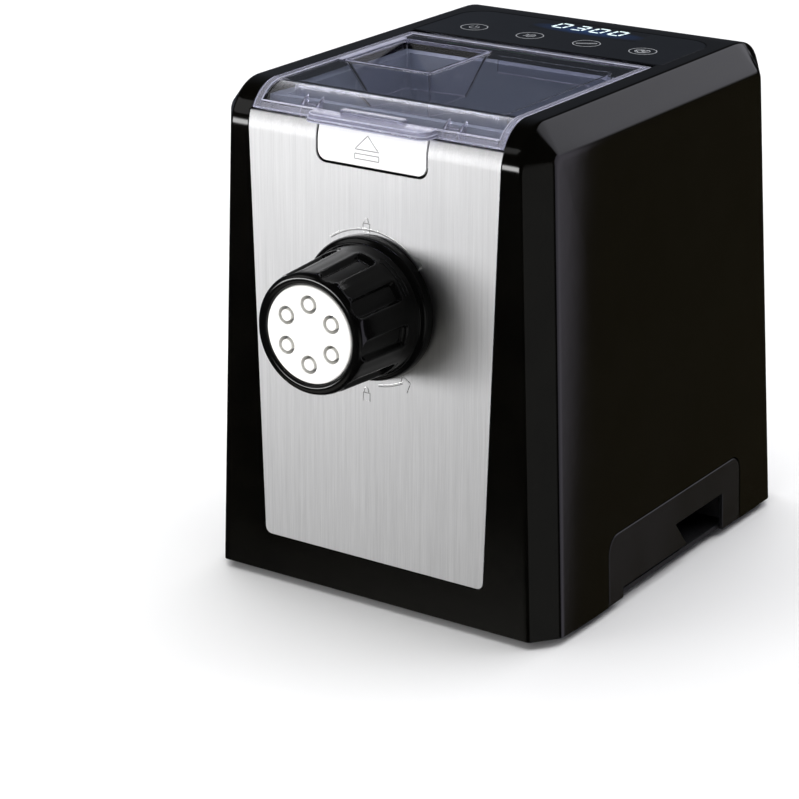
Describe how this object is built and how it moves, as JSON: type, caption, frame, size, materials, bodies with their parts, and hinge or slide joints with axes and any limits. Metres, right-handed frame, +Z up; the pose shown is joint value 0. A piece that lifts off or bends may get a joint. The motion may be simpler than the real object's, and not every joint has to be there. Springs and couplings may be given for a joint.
{
  "type": "pasta maker",
  "caption": "Electric pasta maker: tapered black body with a steel front, extrusion nut and die, clear hinged lid over a mixing chamber, touch panel and side drawer.",
  "frame": {"origin": "middle of the footprint, on the surface that the feet rest on", "axes": "+Z up, the front with the extrusion nut faces -Y, +X is to the right seen from the front (the drawer's side)"},
  "size_m": [0.2444, 0.358, 0.305],
  "materials": {
    "gloss_black": "high gloss",
    "steel": "vertical brushing",
    "tab_white": "gloss",
    "clear": "clear plastic, polished",
    "nut_black": "satin",
    "die_white": "satin",
    "tub_grey": "satin",
    "panel_black": "high gloss",
    "matte_black": "fine texture",
    "rubber": "matte",
    "zinc": "plain",
    "gear_nylon": "satin",
    "brass": "machined",
    "board": "lacquered"
  },
  "bodies": {
    "machine": {"base_plate": "matte_black", "base_screws": "zinc", "control_board": "board", "control_panel": "panel_black", "cord_gland": "rubber", "die_disc": "die_white", "display_module": "matte_black", "drawer_rail_front": "matte_black", "drawer_rail_rear": "matte_black", "extrusion_tube": "tub_grey", "foot_front_left": "rubber", "foot_front_right": "rubber", "foot_rear_left": "rubber", "foot_rear_right": "rubber", "front_bearing": "zinc", "front_bracket": "matte_black", "front_panel": "steel", "gear_cover": "matte_black", "gear_plate": "zinc", "hinge_pin_left": "zinc", "hinge_pin_right": "zinc", "idler_axle": "zinc", "lid_switch": "matte_black", "main_housing": "gloss_black", "mixing_chamber": "tub_grey", "motor_can": "zinc", "motor_front_bell": "zinc", "motor_rear_bell": "zinc", "motor_strap": "zinc", "power_board": "board", "rear_bearing": "zinc", "rear_cover": "gloss_black", "release_spring_left": "zinc", "release_spring_right": "zinc", "shaft_seal": "rubber"},
    "button": {"release_button": "tab_white"},
    "lid": {"lid": "clear", "filling_funnel": "clear", "lid_hook_left": "clear", "lid_hook_right": "clear"},
    "nut": {"die_nut": "nut_black"},
    "drive": {"drive_shaft": "zinc", "mixing_paddle": "tub_grey", "extrusion_screw": "tub_grey", "output_gear": "gear_nylon"},
    "idler": {"idler_gear": "gear_nylon"},
    "rotor": {"motor_shaft": "zinc", "motor_rotor": "zinc", "motor_fan": "matte_black", "motor_pinion": "brass"},
    "drawer": {"drawer_tray": "matte_black", "drawer_front": "gloss_black"}
  },
  "joints": [
    {"name": "lid_hinge", "type": "hinge", "parent": "machine", "child": "lid", "pos_m": [0, 0.053, 0.302], "axis": [-1, 0, 0], "range_deg": [0, 85]},
    {"name": "release_press", "type": "slide", "parent": "machine", "child": "button", "axis": [0, 1, 0], "range_m": [0, 0.0025], "stiffness_N_per_m": 600, "springref_m": -0.002, "deforming": ["release_spring_left", "release_spring_right"]},
    {"name": "nut_turn", "type": "hinge", "parent": "machine", "child": "nut", "pos_m": [0, -0.147, 0.1874], "axis": [0, -1, 0], "range_deg": [0, 45]},
    {"name": "drive_spin", "type": "hinge", "parent": "machine", "child": "drive", "pos_m": [0, -0.017, 0.1874], "axis": [0, 1, 0], "continuous": true},
    {"name": "idler_spin", "type": "hinge", "parent": "machine", "child": "idler", "pos_m": [-0.0234, 0.058, 0.13411], "axis": [0, 1, 0], "continuous": true},
    {"name": "rotor_spin", "type": "hinge", "parent": "machine", "child": "rotor", "pos_m": [-0.04519, -0.007, 0.08448], "axis": [0, 1, 0], "continuous": true},
    {"name": "drawer_slide", "type": "slide", "parent": "machine", "child": "drawer", "axis": [1, 0, 0], "range_m": [0, 0.075]}
  ],
  "couplings": [
    {"joint": "idler_spin", "follows": "drive_spin", "ratio": -2.8667},
    {"joint": "rotor_spin", "follows": "drive_spin", "ratio": 14.333}
  ]
}
